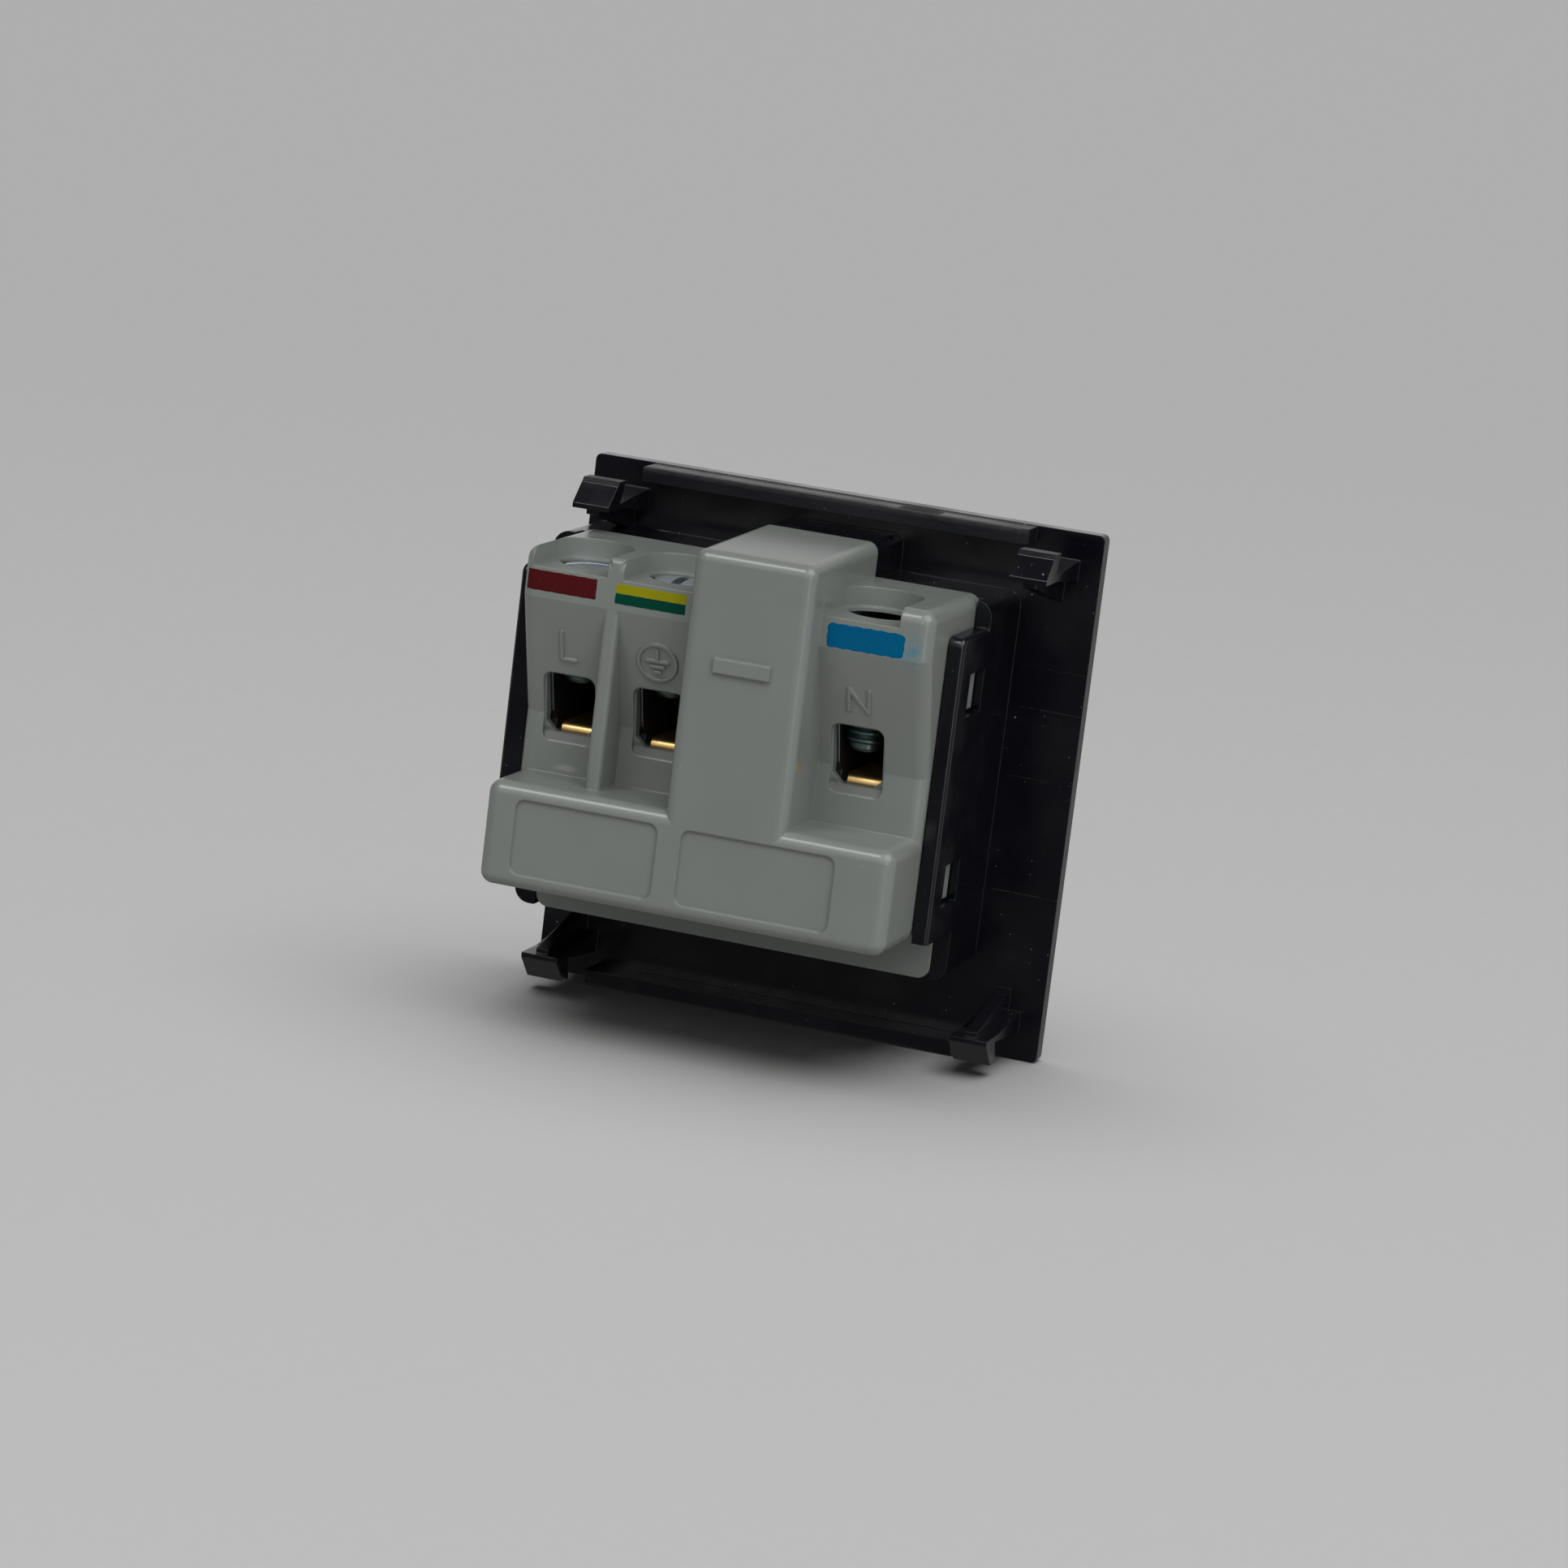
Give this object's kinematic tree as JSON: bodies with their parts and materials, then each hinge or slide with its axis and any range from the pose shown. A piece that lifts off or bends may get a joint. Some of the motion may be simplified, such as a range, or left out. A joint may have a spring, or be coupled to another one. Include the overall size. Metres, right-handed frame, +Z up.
{
  "type": "uk socket outlet module",
  "caption": "Square snap-in UK power socket module: black front moulding with clips, grey rear housing, shuttered pin slots and screw terminals for live, earth and neutral.",
  "frame": {"origin": "centre of the front face", "axes": "seen from the front +X is right and +Z is up with the earth slot on top; +Y runs to the rear"},
  "size_m": [0.05, 0.0283, 0.05],
  "materials": {
    "black_plastic": "moulded black plastic, glossy with light scuffs and dust",
    "grey_plastic": "moulded mid-grey plastic, satin",
    "shutter_plastic": "moulded dark plastic, matt",
    "spring_steel": "drawn spring wire",
    "brass": "pressed brass, bright",
    "zinc_steel": "zinc-plated steel, slightly blue"
  },
  "bodies": {
    "body": {"front_moulding": "black_plastic", "rear_housing": "grey_plastic", "shutter_spring": "spring_steel", "live_contact": "brass", "neutral_contact": "brass", "earth_contact": "brass", "live_terminal": "zinc_steel", "neutral_terminal": "zinc_steel", "earth_terminal": "zinc_steel"},
    "shutter": {"shutter": "shutter_plastic"},
    "live_screw": {"live_screw": "zinc_steel"},
    "neutral_screw": {"neutral_screw": "zinc_steel"},
    "earth_screw": {"earth_screw": "zinc_steel"}
  },
  "joints": [
    {"name": "shutter_slide", "type": "slide", "parent": "body", "child": "shutter", "axis": [0, 0, -1], "range_m": [0, 0.005], "stiffness_N_per_m": 120, "springref_m": -0.004, "deforming": ["shutter_spring"]},
    {"name": "live_screw_travel", "type": "slide", "parent": "body", "child": "live_screw", "axis": [0, 0, -1], "range_m": [-0.0022, 0.0038]},
    {"name": "neutral_screw_travel", "type": "slide", "parent": "body", "child": "neutral_screw", "axis": [0, 0, -1], "range_m": [-0.0035, 0.0022]},
    {"name": "earth_screw_travel", "type": "slide", "parent": "body", "child": "earth_screw", "axis": [0, 0, -1], "range_m": [-0.002, 0.0039]}
  ]
}
